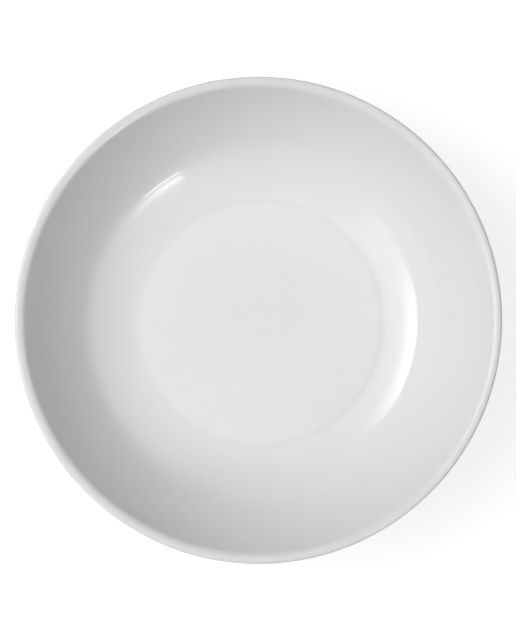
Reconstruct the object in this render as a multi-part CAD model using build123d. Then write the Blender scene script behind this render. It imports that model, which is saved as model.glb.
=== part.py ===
from build123d import *

"""Round porcelain serving bowl: one fired porcelain body under two separate coats of glaze.

Frame: millimetres, +Z up, origin at the centre of the foot's standing face.
The section is drawn at its finished size, over the glaze, with X as the radius, and turned about Z.
"""

import os
from math import cos, radians, sin, sqrt, tan

# Bowl, finished sizes
RIM_DIAMETER = 260.0
HEIGHT = 60.0
WALL_LEAN = 62.0  # slope of the wall where it meets the lip, degrees from level
FLOOR_DIAMETER = 137.0  # inside the crease
FLOOR_TOP = 10.5  # height of the floor above the table
CREASE_SLOPE = 7.0  # degrees by which the well starts to climb at the crease
CREASE_FILLET = 9.0

# Lip, two unequal roundings that meet at the crest
LIP_INNER_RADIUS = 5.0
LIP_OUTER_RADIUS = 1.6

# Underside and foot ring
UNDERSIDE_SLOPE = 9.0  # degrees by which the outside starts to climb at the foot
FOOT_OUTSET = 2.0  # from the crease out to where the foot leaves the wall
FOOT_HEIGHT = 5.0
FOOT_WIDTH = 4.6  # of the standing face, before its corners are rounded
FOOT_DRAFT = 6.0  # taper of both faces of the foot, degrees
FOOT_FILLET = 3.2  # in the corners where the foot leaves the wall and the recess
STANDING_FILLET = 1.1
RECESS_DEPTH = 4.6

# Glaze
GLAZE = 0.35
BARE_BAND = 1.3  # height above the table up to which the foot is wiped clear of glaze


def heading(slope):
    """Unit vector that climbs outwards at this slope, in degrees from level."""
    return Vector(cos(radians(slope)), sin(radians(slope)))


def inward(slope):
    """Unit vector square to that heading, towards the hollow of the bowl."""
    return Vector(-sin(radians(slope)), cos(radians(slope)))


def rising_curve(start, start_slope, end, end_slope):
    """Two arcs that climb from start to end and share a tangent halfway between their corners."""
    out = heading(start_slope)
    up = heading(end_slope)
    span = end - start
    run = span.dot(out + up)
    tangent = span.length**2 / (run + sqrt(run**2 + 2 * (1 - out.dot(up)) * span.length**2))
    meet = (start + out * tangent + end - up * tangent) / 2
    near_arc = TangentArc(start, meet, tangent=out)
    return [near_arc, TangentArc(meet, end, tangent=near_arc % 1)]


def rounded(section, corner, radius):
    """The section with the corner nearest this point rounded."""
    return fillet(section.vertices().sort_by_distance(corner)[0], radius)


def finished_section():
    """Half of the glazed section. Its foot runs on below the table by one coat of glaze."""
    floor_centre = Vector(0, FLOOR_TOP)
    crease = Vector(FLOOR_DIAMETER / 2, FLOOR_TOP)
    crest = Vector(RIM_DIAMETER / 2 - LIP_OUTER_RADIUS, HEIGHT)
    lip_start = crest + (inward(WALL_LEAN) - Vector(0, 1)) * LIP_INNER_RADIUS
    lip_end = crest - (inward(WALL_LEAN) + Vector(0, 1)) * LIP_OUTER_RADIUS

    taper = tan(radians(FOOT_DRAFT))
    foot_drop = FOOT_HEIGHT + GLAZE
    recess_drop = RECESS_DEPTH + GLAZE
    foot_corner = Vector(crease.X + FOOT_OUTSET, FOOT_HEIGHT)
    standing_outer = foot_corner - Vector(foot_drop * taper, foot_drop)
    standing_inner = standing_outer - Vector(FOOT_WIDTH, 0)
    recess_corner = standing_inner + Vector(-recess_drop * taper, recess_drop)
    recess_centre = Vector(0, RECESS_DEPTH)

    lip_inside = JernArc(lip_start, heading(WALL_LEAN), LIP_INNER_RADIUS, -WALL_LEAN)
    lip_outside = JernArc(crest, (1, 0), LIP_OUTER_RADIUS, WALL_LEAN - 180)
    well = rising_curve(crease, CREASE_SLOPE, lip_start, WALL_LEAN)
    underside = rising_curve(foot_corner, UNDERSIDE_SLOPE, lip_end, WALL_LEAN)
    foot = Polyline(foot_corner, standing_outer, standing_inner, recess_corner, recess_centre)
    axis = Line(recess_centre, floor_centre)
    section = make_face([
        Line(floor_centre, crease), *well, lip_inside, lip_outside, *underside, *foot.edges(), axis,
    ])

    section = rounded(section, crease, CREASE_FILLET)
    section = rounded(section, foot_corner, FOOT_FILLET)
    section = rounded(section, recess_corner, FOOT_FILLET)
    section = rounded(section, standing_outer, STANDING_FILLET + GLAZE)
    return rounded(section, standing_inner, STANDING_FILLET + GLAZE)


def turned(section, label):
    """The right-hand half of a section, turned about the bowl's axis."""
    half = section & Pos(RIM_DIAMETER / 2, 0) * Rectangle(RIM_DIAMETER, 4 * HEIGHT)
    solid = revolve(Plane.XZ * half, axis=Axis.Z).solid()
    solid.label = label
    return solid


# The fired body lies one coat of glaze inside the finished outline, all the way round.
half_section = finished_section()
whole_section = half_section + mirror(half_section, about=Plane.YZ)
body_section = offset(whole_section, amount=-GLAZE, kind=Kind.ARC)
glaze_section = whole_section - body_section

# The glaze is wiped off the foot, which parts the patch inside the foot from the main coat.
dry_zone = Pos(0, BARE_BAND - HEIGHT) * Rectangle(2 * RIM_DIAMETER, 2 * HEIGHT)
coats = (glaze_section - dry_zone).faces().sort_by(SortBy.AREA)

nodes = [
    turned(body_section, "porcelain_body"),
    turned(coats[-1], "glaze_coat"),
    turned(coats[0], "foot_recess_glaze"),
]

os.makedirs("parts", exist_ok=True)
for node in nodes:
    export_step(node, f"parts/{node.label}.step")
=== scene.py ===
"""A round porcelain serving bowl: one fired porcelain body, its coat of clear glaze, and the separate
patch of glaze inside the foot ring. Metres, +Z up, origin at the centre of the foot's standing face."""

from math import atan2, ceil, cos, degrees, pi, radians, sin, sqrt, tan

import bpy
from mathutils import Matrix, Vector


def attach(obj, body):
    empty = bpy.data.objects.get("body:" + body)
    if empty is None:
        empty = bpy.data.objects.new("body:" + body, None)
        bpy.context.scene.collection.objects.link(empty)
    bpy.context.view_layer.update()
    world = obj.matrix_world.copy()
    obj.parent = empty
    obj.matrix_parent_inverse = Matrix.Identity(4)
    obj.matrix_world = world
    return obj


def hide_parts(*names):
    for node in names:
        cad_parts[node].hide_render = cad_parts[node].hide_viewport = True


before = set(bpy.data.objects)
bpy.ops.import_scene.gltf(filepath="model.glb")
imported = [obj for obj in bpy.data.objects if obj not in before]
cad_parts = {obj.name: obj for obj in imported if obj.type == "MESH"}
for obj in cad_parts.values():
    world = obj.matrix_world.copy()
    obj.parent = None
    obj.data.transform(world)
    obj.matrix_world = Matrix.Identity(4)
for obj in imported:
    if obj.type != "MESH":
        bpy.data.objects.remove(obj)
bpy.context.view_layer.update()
scene = bpy.context.scene


# ---- Porcelain body -------------------------------------------------------------------------------
# One piece of fired porcelain, pressed and turned in one go: floor, wall, lip and foot ring.
# It is seen bare only on the foot's standing band. Everywhere else it lies under the glaze.

mm = 0.001
rim_radius = 130 * mm
height = 60 * mm
wall_lean = 62.0
floor_radius = 68.5 * mm
floor_top = 10.5 * mm
crease_slope = 7.0
crease_fillet = 9 * mm
lip_inner = 5 * mm
lip_outer = 1.6 * mm
foot_outset = 2 * mm
foot_height = 5 * mm
foot_width = 4.6 * mm
foot_draft = 6.0
foot_fillet = 3.2 * mm
standing_fillet = 1.1 * mm
recess_depth = 4.6 * mm
underside_slope = 9.0
glaze = 0.35 * mm
turns = 264
sharp_edge = 38


def along(angle):
    return Vector((cos(radians(angle)), sin(radians(angle))))


def two_arcs(start, start_slope, end, end_slope):
    """Centres and radii of two tangent arcs climbing from start to end, and the slope between them."""
    out, up = along(start_slope), along(end_slope)
    span = end - start
    run = span.dot(out + up)
    reach = span.length_squared / (run + sqrt(run**2 + 2 * (1 - out.dot(up)) * span.length_squared))
    corner, top_corner = start + out * reach, end - up * reach
    middle = degrees(atan2(top_corner.y - corner.y, top_corner.x - corner.x))
    near_radius = reach / tan(radians(middle - start_slope) / 2)
    far_radius = reach / tan(radians(end_slope - middle) / 2)
    near_centre = start + along(start_slope + 90) * near_radius
    far_centre = end + along(end_slope + 90) * far_radius
    return near_centre, near_radius, far_centre, far_radius, middle


def rounded_edges():
    """The finished outline as roundings joined by straights, from the floor's centre round to the foot.
    Each is (centre, radius, first facing, last facing), with a hollow rounding's radius negative."""
    crest = Vector((rim_radius - lip_outer, height))
    lip_start = crest + (along(wall_lean + 90) - Vector((0, 1))) * lip_inner
    lip_end = crest + (along(wall_lean - 90) - Vector((0, 1))) * lip_outer
    crease = Vector((floor_radius, floor_top))
    foot_corner = Vector((floor_radius + foot_outset, foot_height))

    near, near_radius, far, far_radius, middle = two_arcs(crease, crease_slope, lip_start, wall_lean)
    rise = near.y - floor_top - crease_fillet
    fillet_x = near.x + sqrt((near_radius - crease_fillet)**2 - rise**2)
    fillet_slope = degrees(atan2(fillet_x - near.x, rise))
    inside = [
        (Vector((fillet_x, floor_top + crease_fillet)), -crease_fillet, 90, 90 + fillet_slope),
        (near, -near_radius, 90 + fillet_slope, 90 + middle),
        (far, -far_radius, 90 + middle, 90 + wall_lean),
        (crest - Vector((0, lip_inner)), lip_inner, 90 + wall_lean, 90),
        (crest - Vector((0, lip_outer)), lip_outer, 90, wall_lean - 90),
    ]

    near, near_radius, far, far_radius, middle = two_arcs(
        foot_corner, underside_slope, lip_end, wall_lean)
    down_face = along(-90 - foot_draft)
    beside = foot_corner + along(-foot_draft) * foot_fillet
    back = (beside - near).dot(down_face)
    reach = sqrt(back**2 - (beside - near).length_squared + (near_radius + foot_fillet)**2) - back
    fillet = beside + down_face * reach
    fillet_facing = degrees(atan2(fillet.y - near.y, fillet.x - near.x))

    corner = standing_fillet + glaze
    toe = foot_corner + down_face * (foot_height + glaze) / cos(radians(foot_draft))
    heel = toe - Vector((foot_width, 0))
    tuck = corner * (1 - sin(radians(foot_draft))) / cos(radians(foot_draft))
    recess_y = recess_depth - foot_fillet
    recess_x = heel.x - (recess_y - heel.y) * tan(radians(foot_draft))
    recess_x -= foot_fillet / cos(radians(foot_draft))
    outside = [
        (far, far_radius, wall_lean - 90, middle - 90),
        (near, near_radius, middle - 90, fillet_facing),
        (fillet, -foot_fillet, fillet_facing, -foot_draft),
        (toe + Vector((-tuck, corner)), corner, -foot_draft, -90),
        (heel + Vector((tuck, corner)), corner, -90, foot_draft - 180),
        (Vector((recess_x, recess_y)), -foot_fillet, foot_draft - 180, -90),
    ]
    return inside + outside


edges = rounded_edges()


def outline(depth, first, last):
    """Points along the outline at this depth below the glaze's skin, for roundings first up to last."""
    points = []
    widest_turn, longest_step = 4, 1.6 * mm
    for centre, radius, start, end in edges[first:last]:
        bend = radius - depth
        length = abs(radians(end - start) * bend)
        steps = max(4, ceil(abs(end - start) / widest_turn), ceil(length / longest_step))
        for step in range(steps + 1):
            points.append(centre + along(start + (end - start) * step / steps) * bend)
    return points


def across(radius, level, inwards=False):
    """Points on a level disc, from its centre out to just short of this radius, or back."""
    rounds = 9
    points = [Vector((radius * step / rounds, level)) for step in range(rounds)]
    return points[::-1] if inwards else points


def turned(name, profile):
    """A closed mesh turned about Z. Its profile starts and ends on the axis or closes on itself."""
    too_close, on_axis = 0.1 * glaze, 1e-7
    kept = [profile[0]] + [b for a, b in zip(profile, profile[1:]) if (b - a).length > too_close]
    rings, points, faces = [], [], []
    for point in kept:
        count = turns if point.x > on_axis else 1
        rings.append([len(points) + step % count for step in range(turns + 1)])
        for step in range(count):
            angle = 2 * pi * (step + 0.5) / turns
            points.append((point.x * cos(angle), point.x * sin(angle), point.y))
    pairs = list(zip(rings, rings[1:])) + ([(rings[-1], rings[0])] if kept[0].x > on_axis else [])
    for a, b in pairs:
        for step in range(turns):
            corners = [a[step], b[step], b[step + 1], a[step + 1]]
            if len(set(corners)) > 2:
                faces.append(list(dict.fromkeys(corners)))
    mesh = bpy.data.meshes.new(name)
    mesh.from_pydata(points, [], faces)
    mesh.shade_smooth()
    mesh.set_sharp_from_angle(angle=radians(sharp_edge))
    piece = bpy.data.objects.new(name, mesh)
    scene.collection.objects.link(piece)
    return piece


body = turned(
    "fired_body",
    across(edges[0][0].x, floor_top - glaze)
    + outline(glaze, 0, 11)
    + across(edges[10][0].x, recess_depth + glaze, inwards=True),
)


def node(tree, kind, inputs, **settings):
    """A shader node with its settings made and its inputs set or linked."""
    made = tree.nodes.new(kind)
    for name, value in settings.items():
        setattr(made, name, value)
    for name, value in inputs.items():
        if isinstance(value, bpy.types.NodeSocket):
            tree.links.new(value, made.inputs[name])
        else:
            made.inputs[name].default_value = value
    return made


def shader(name):
    """A new material with its node tree, its surface shader and the position in metres."""
    material = bpy.data.materials.new(name)
    material.use_nodes = True
    tree = material.node_tree
    surface = tree.nodes["Principled BSDF"]
    return material, tree, surface, tree.nodes.new("ShaderNodeTexCoord").outputs["Object"]


def blended(tree, factor, low, high):
    """A colour between two others."""
    return node(tree, "ShaderNodeMix", {0: factor, 6: low, 7: high}, data_type="RGBA").outputs[2]


bisque, tree, surface, place = shader("fired_porcelain")
grain = node(tree, "ShaderNodeTexNoise", {
    "Vector": place, "Scale": 900, "Detail": 5, "Roughness": 0.65})
scuffs = node(tree, "ShaderNodeTexNoise", {"Vector": place, "Scale": 70, "Detail": 4, "Roughness": 0.7})
scuffed = node(tree, "ShaderNodeMapRange", {
    "Value": scuffs.outputs["Fac"], "From Min": 0.5, "From Max": 0.68, "To Max": 0.4})
clay = blended(tree, grain.outputs["Fac"], (0.66, 0.655, 0.64, 1), (0.78, 0.775, 0.765, 1))
worn = blended(tree, scuffed.outputs["Result"], clay, (0.48, 0.475, 0.465, 1))
tree.links.new(worn, surface.inputs["Base Color"])
surface.inputs["Roughness"].default_value = 0.72
surface.inputs["IOR"].default_value = 1.5
tooth = node(tree, "ShaderNodeBump", {"Height": grain.outputs["Fac"], "Distance": 0.03 * mm})
tree.links.new(tooth.outputs["Normal"], surface.inputs["Normal"])
body.data.materials.append(bisque)

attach(body, "root")
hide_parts("porcelain_body")


# ---- Main coat of glaze ---------------------------------------------------------------------------
# Clear glaze melted onto the body: over the floor, up the wall, over the lip and down the outside to
# a wiped line on the foot, where its edge draws itself round. A faint grey ring is painted into its
# colour along the crease of the floor: painted shade in the crease, partly also glaze pooled there.

glaze_line = 1.3 * mm
glaze_edge = 0.45 * mm
crease_line = 68 * mm
crease_shade_width = 3.2 * mm
crease_low = 0.7 * floor_top
crease_shade_grey = 0.768


def on_foot(upper, lower, facing, depth, level):
    """The point at this level on one face of the foot, this deep under the glaze."""
    high = upper[0] + along(facing) * (upper[1] - depth)
    low = lower[0] + along(facing) * (lower[1] - depth)
    return low.lerp(high, (level - low.y) / (high.y - low.y))


def round_edge(upper, lower, facing):
    """The coat's rounded end on one face of the foot, from its skin in to the body."""
    ends, steps = [], 6
    for step in range(steps + 1):
        angle = radians(90 * step / steps)
        ends.append(on_foot(upper, lower, facing, glaze * (1 - cos(angle)),
                            glaze_line + glaze_edge * (1 - sin(angle))))
    return ends


coat = turned(
    "main_glaze",
    across(edges[0][0].x, floor_top)
    + outline(0, 0, 8)
    + round_edge(edges[7], edges[8], -foot_draft)
    + outline(glaze, 0, 8)[::-1]
    + across(edges[0][0].x, floor_top - glaze, inwards=True),
)

clear, tree, surface, place = shader("clear_glaze")
depth = node(tree, "ShaderNodeTexNoise", {"Vector": place, "Scale": 14, "Detail": 3, "Roughness": 0.5})
tone = blended(tree, depth.outputs["Fac"], (0.79, 0.79, 0.79, 1), (0.81, 0.81, 0.81, 1))

# Painted shade: a faint grey ring darkens the glaze in the floor's crease, partly also glaze pooled
# there.
level = node(tree, "ShaderNodeSeparateXYZ", {"Vector": place}).outputs["Z"]
inside = node(tree, "ShaderNodeMath", {0: level, 1: crease_low}, operation="GREATER_THAN")
spread = node(tree, "ShaderNodeVectorMath", {0: place, 1: (1, 1, 0)}, operation="MULTIPLY")
spread = node(tree, "ShaderNodeVectorMath", {0: spread.outputs["Vector"]}, operation="LENGTH")
beside = node(tree, "ShaderNodeMath", {
    0: spread.outputs["Value"], 1: crease_line}, operation="SUBTRACT")
beside = node(tree, "ShaderNodeMath", {0: beside.outputs[0]}, operation="ABSOLUTE")
crease_shading = node(tree, "ShaderNodeMapRange", {
    "Value": beside.outputs[0], "From Max": crease_shade_width, "To Min": 1, "To Max": 0},
    interpolation_type="SMOOTHSTEP")
crease_shading = node(tree, "ShaderNodeMath", {
    0: crease_shading.outputs["Result"], 1: inside.outputs[0]}, operation="MULTIPLY")
tone = blended(tree, crease_shading.outputs[0], tone, (crease_shade_grey, crease_shade_grey, crease_shade_grey, 1))

grit = node(tree, "ShaderNodeTexVoronoi", {"Vector": place, "Scale": 72})
speck = node(tree, "ShaderNodeMapRange", {
    "Value": grit.outputs["Distance"],
    "From Min": 0.014, "From Max": 0.024, "To Min": 0.55, "To Max": 0})
specked = blended(tree, speck.outputs["Result"], tone, (0.30, 0.29, 0.28, 1))
tree.links.new(specked, surface.inputs["Base Color"])

haze = node(tree, "ShaderNodeTexNoise", {"Vector": place, "Scale": 45, "Detail": 5, "Roughness": 0.6})
gloss = node(tree, "ShaderNodeMapRange", {
    "Value": haze.outputs["Fac"], "From Min": 0.35, "From Max": 0.75, "To Min": 0.045, "To Max": 0.085})
tree.links.new(gloss.outputs["Result"], surface.inputs["Roughness"])
surface.inputs["IOR"].default_value = 1.5

waves = node(tree, "ShaderNodeTexNoise", {"Vector": place, "Scale": 26, "Detail": 1})
rings = node(tree, "ShaderNodeTexWave", {
    "Vector": place, "Scale": 46, "Distortion": 1.2, "Detail": 1, "Detail Scale": 0.3},
    wave_type="RINGS", rings_direction="Z")
peel = node(tree, "ShaderNodeTexNoise", {"Vector": place, "Scale": 650, "Detail": 1})
swell = node(tree, "ShaderNodeBump", {"Height": waves.outputs["Fac"], "Distance": 0.05 * mm})
turning = node(tree, "ShaderNodeBump", {
    "Height": rings.outputs["Fac"], "Distance": 0.002 * mm, "Normal": swell.outputs["Normal"]})
skin = node(tree, "ShaderNodeBump", {
    "Height": peel.outputs["Fac"], "Distance": 0.0006 * mm, "Normal": turning.outputs["Normal"]})
tree.links.new(skin.outputs["Normal"], surface.inputs["Normal"])
coat.data.materials.append(clear)

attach(coat, "root")
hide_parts("glaze_coat")


# ---- Glaze inside the foot ring -------------------------------------------------------------------
# A separate patch under the floor, cut off from the main coat by the wiped band. It was dipped with
# the rest, but it came out a little duller and is marked by more kiln grit.

patch = turned(
    "recess_glaze",
    across(edges[10][0].x, recess_depth + glaze)
    + outline(glaze, 10, 11)[::-1]
    + round_edge(edges[10], edges[9], foot_draft - 180)[::-1]
    + outline(0, 10, 11)
    + across(edges[10][0].x, recess_depth, inwards=True),
)

under, tree, surface, place = shader("recess_glaze")
depth = node(tree, "ShaderNodeTexNoise", {"Vector": place, "Scale": 22, "Detail": 4, "Roughness": 0.6})
tone = blended(tree, depth.outputs["Fac"], (0.765, 0.765, 0.76, 1), (0.81, 0.81, 0.805, 1))
grit = node(tree, "ShaderNodeTexVoronoi", {"Vector": place, "Scale": 130})
speck = node(tree, "ShaderNodeMapRange", {
    "Value": grit.outputs["Distance"], "From Min": 0.02, "From Max": 0.04, "To Min": 0.7, "To Max": 0})
specked = blended(tree, speck.outputs["Result"], tone, (0.26, 0.25, 0.24, 1))
tree.links.new(specked, surface.inputs["Base Color"])
haze = node(tree, "ShaderNodeTexNoise", {"Vector": place, "Scale": 60, "Detail": 5, "Roughness": 0.6})
gloss = node(tree, "ShaderNodeMapRange", {
    "Value": haze.outputs["Fac"], "From Min": 0.35, "From Max": 0.75, "To Min": 0.06, "To Max": 0.14})
tree.links.new(gloss.outputs["Result"], surface.inputs["Roughness"])
surface.inputs["IOR"].default_value = 1.5
waves = node(tree, "ShaderNodeTexNoise", {"Vector": place, "Scale": 60, "Detail": 2})
swell = node(tree, "ShaderNodeBump", {"Height": waves.outputs["Fac"], "Distance": 0.05 * mm})
tree.links.new(swell.outputs["Normal"], surface.inputs["Normal"])
patch.data.materials.append(under)

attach(patch, "root")
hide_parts("foot_recess_glaze")


# ---- Table and surroundings -----------------------------------------------------------------------
# A plain matt white table that runs out to the edge of sight, in a white room. Not part of the bowl.
# Both are white to the eye and in the glaze. The table throws a little light up onto the outside, and
# the room gives off next to none.

reach = 3.0
table_grey = 0.5
table_bounce = 0.25
near_white, near_reach = 0.68, 0.4
far_white, far_reach = 1.0, 1.5
room_light, room_white = 0.01, 1.0


def as_seen(tree, unseen, white):
    """The white that eyes, mirrors and glass see, and otherwise the unseen level."""
    sight = tree.nodes.new("ShaderNodeLightPath").outputs
    seen = node(tree, "ShaderNodeMath", {0: sight["Is Camera Ray"], 1: sight["Is Glossy Ray"]})
    seen = node(tree, "ShaderNodeMath", {
        0: seen.outputs[0], 1: sight["Is Transmission Ray"]}, use_clamp=True)
    return node(tree, "ShaderNodeMix", {0: seen.outputs[0], 2: unseen, 3: white}).outputs[0]


table_mesh = bpy.data.meshes.new("table")
corners = [(-reach, -reach, 0), (reach, -reach, 0), (reach, reach, 0), (-reach, reach, 0)]
table_mesh.from_pydata(corners, [], [(0, 1, 2, 3)])
table = bpy.data.objects.new("table", table_mesh)
scene.collection.objects.link(table)
paper, tree, surface, place = shader("table")
surface.inputs["Base Color"].default_value = (table_grey, table_grey, table_grey, 1)
surface.inputs["Roughness"].default_value = 1
way_off = node(tree, "ShaderNodeVectorMath", {0: place}, operation="LENGTH")
white = node(tree, "ShaderNodeMapRange", {
    "Value": way_off.outputs["Value"],
    "From Min": near_reach, "From Max": far_reach, "To Min": near_white, "To Max": far_white})
surface.inputs["Emission Color"].default_value = (1, 1, 1, 1)
shown = as_seen(tree, table_bounce, white.outputs["Result"])
tree.links.new(shown, surface.inputs["Emission Strength"])
table_mesh.materials.append(paper)

room = bpy.data.worlds.new("room")
scene.world = room
room.use_nodes = True
tree = room.node_tree
shown = as_seen(tree, room_light, room_white)
tree.links.new(shown, tree.nodes["Background"].inputs["Strength"])
tree.nodes["Background"].inputs["Color"].default_value = (1, 1, 1, 1)


# ---- Lamps ----------------------------------------------------------------------------------------
# Soft boxes for the room's light, each given by the way to it from the middle of the bowl and by its
# size as seen from there, in degrees. Their light dies away towards all four edges, and the ceiling is
# the only one that shows in the glaze.

bowl_centre = Vector((0, 0, height / 2))


def way_to(azimuth, elevation):
    """Unit vector at this elevation and azimuth, which is 0 on the right and 90 at the back."""
    return Vector((
        cos(radians(azimuth)) * cos(radians(elevation)),
        sin(radians(azimuth)) * cos(radians(elevation)),
        sin(radians(elevation)),
    ))


def softbox(name, azimuth, elevation, wide, tall, brightness, distance=1.5):
    soft_share = 0.4
    lamp = bpy.data.lights.new(name, "AREA")
    lamp.shape = "RECTANGLE"
    lamp.size = 2 * distance * tan(radians(wide / 2))
    lamp.size_y = 2 * distance * tan(radians(tall / 2))
    lamp.energy = brightness * lamp.size * lamp.size_y
    lamp.use_nodes = True
    tree = lamp.node_tree
    spot = node(tree, "ShaderNodeNewGeometry", {}).outputs["Parametric"]
    spot = node(tree, "ShaderNodeSeparateXYZ", {"Vector": spot})
    strength = 1.0
    for axis, edge in (("Y", 1), ("Y", 0), ("X", 0), ("X", 1)):
        fade = node(tree, "ShaderNodeMapRange", {
            "Value": spot.outputs[axis], "From Min": edge, "From Max": abs(edge - soft_share)},
            interpolation_type="SMOOTHSTEP")
        strength = node(tree, "ShaderNodeMath", {0: fade.outputs["Result"], 1: strength},
                        operation="MULTIPLY").outputs[0]
    tree.links.new(strength, tree.nodes["Emission"].inputs["Strength"])
    holder = bpy.data.objects.new(name, lamp)
    holder.location = bowl_centre + way_to(azimuth, elevation) * distance
    holder.rotation_euler = way_to(azimuth, elevation).to_track_quat("Z", "Y").to_euler()
    scene.collection.objects.link(holder)
    return holder


softbox("ceiling", 90, 89.9, 60, 60, 2.33, distance=2.2)
softbox("left_room", 180, 50, 110, 50, 4.85).visible_glossy = False
softbox("right_room", 5, 45, 60, 50, 1.1).visible_glossy = False
softbox("back_room", 90, 50, 60, 50, 1.1).visible_glossy = False
softbox("front_room", 262, 50, 60, 50, 1.1).visible_glossy = False


# ---- Windows --------------------------------------------------------------------------------------
# What the glaze mirrors, on a dome round the bowl: a long window on the left, a small one in front on
# the right, the gap under its blind, and a pale wall, which lights nothing by itself. Light passes
# through them all, and they are seen only as reflections.

def ramp(value, dark, bright):
    """0 on the dark side, 1 on the bright side, and smooth between them."""
    share = min(max((value - dark) / (bright - dark), 0), 1)
    return share * share * (3 - 2 * share)


def long_pane(azimuth, elevation):
    """Dull sky over a sill that climbs towards the back, lit along its climb, with a sunny middle."""
    sky_light, back_light, sun_light, edge_light = 1.2, 0.3, 4.4, 0.8
    sill = 55.5 - 16.1 * ramp(azimuth, 122, 142)
    glass = ramp(elevation, sill - 0.6, sill + 0.6) * ramp(azimuth, 222.5, 221.5)
    sky = sky_light * ramp(azimuth, 126, 160) * ramp(azimuth, 260, 195)
    sky = (sky + back_light * ramp(azimuth, 45, 80)) * ramp(elevation, 79, 68)
    sun_top = 60 + 3 * ramp(azimuth, 156, 168) * ramp(azimuth, 200, 182)
    sun = ramp(elevation, sun_top, 46) * ramp(azimuth, 128, 156) * ramp(azimuth, 206, 176)
    edge = ramp(elevation, sill + 8, sill + 3) * ramp(azimuth, 112, 126) * ramp(azimuth, 146, 134)
    return glass * (sky + sun_light * sun + edge_light * edge)


def small_pane(azimuth, elevation):
    """Dull sky, with sun low down at its front end."""
    sky_light, sun_light = 0.6, 6.4
    glass = ramp(elevation, 30.9, 31.5) * ramp(azimuth, 297.6, 298.8)
    sky = ramp(azimuth, 365, 315) * ramp(elevation, 72, 42)
    sun = ramp(elevation, 45, 31.5) * ramp(azimuth, 326, 305)
    return glass * (sky_light * sky + sun_light * sun)


def blind_gap(azimuth, elevation):
    """A thin strip of sun under the small window's blind."""
    sun_light = 13.5
    slit = ramp(elevation, 27, 27.4) * ramp(elevation, 28.7, 28.3)
    return sun_light * slit * ramp(azimuth, 298, 299) * ramp(azimuth, 314, 313)


def pale_wall(azimuth, elevation):
    """The room's lit wall on the right, without hard edges."""
    wall_light = 1.65
    height = ramp(elevation, 18, 30) * ramp(elevation, 76, 48)
    return wall_light * height * ramp(azimuth, -95, -55) * ramp(azimuth, 90, 25)


def spaced(first, last, steps):
    return [first + (last - first) * step / steps for step in range(steps + 1)]


def pane(name, glow, azimuths, elevations, radius=2.5):
    """A net over azimuths and elevations, each (first, last, steps), that shines as glow says."""
    columns, rows = spaced(*azimuths), spaced(*elevations)
    points = [bowl_centre + way_to(a, e) * radius for e in rows for a in columns]
    width = len(columns)
    faces = [
        (i, i + 1, i + 1 + width, i + width)
        for row in range(len(rows) - 1) for i in range(row * width, row * width + width - 1)
    ]
    mesh = bpy.data.meshes.new(name)
    mesh.from_pydata(points, [], faces)
    shine = mesh.attributes.new("shine", "FLOAT", "POINT")
    shine.data.foreach_set("value", [glow(a, e) for e in rows for a in columns])
    material = bpy.data.materials.new(name)
    material.use_nodes = True
    tree = material.node_tree
    tree.nodes.remove(tree.nodes["Principled BSDF"])
    shine = node(tree, "ShaderNodeAttribute", {}, attribute_name="shine").outputs["Fac"]
    light = node(tree, "ShaderNodeEmission", {"Strength": shine})
    clear = tree.nodes.new("ShaderNodeBsdfTransparent")
    light = node(tree, "ShaderNodeAddShader", {0: light.outputs[0], 1: clear.outputs[0]})
    tree.links.new(light.outputs[0], tree.nodes["Material Output"].inputs["Surface"])
    mesh.materials.append(material)
    screen = bpy.data.objects.new(name, mesh)
    screen.visible_camera = False
    scene.collection.objects.link(screen)
    return screen


pane("pane_long", long_pane, (44, 223, 119), (39, 80, 82))
pane("pane_small", small_pane, (297.5, 365, 50), (30.8, 72, 103))
pane("pane_gap", blind_gap, (297.8, 314.2, 16), (26.9, 28.8, 19))
pane("pale_wall", pale_wall, (-95, 90, 60), (18, 76, 58), 2.6).visible_diffuse = False


# ---- Camera ---------------------------------------------------------------------------------------
# Almost straight above, a little towards the front and the right, with a long lens.

camera_data = bpy.data.cameras.new("camera")
camera = bpy.data.objects.new("camera", camera_data)
scene.collection.objects.link(camera)
scene.camera = camera
camera_distance = 1.2
seen_height = 0.3413
lean_right, lean_front = 0.8, 2.4
aim = Vector((0, -0.0004, 0.058))
towards = Vector((tan(radians(lean_right)), -tan(radians(lean_front)), 1)).normalized()
camera.location = aim + towards * camera_distance
upwards = (Vector((0, 1, 0)) - towards * towards.y).normalized()
camera.rotation_euler = Matrix((upwards.cross(towards), upwards, towards)).transposed().to_euler()
camera_data.sensor_width = 36
camera_data.lens = camera_data.sensor_width * camera_distance / seen_height
camera_data.clip_end = 30
scene.view_settings.view_transform = "Standard"
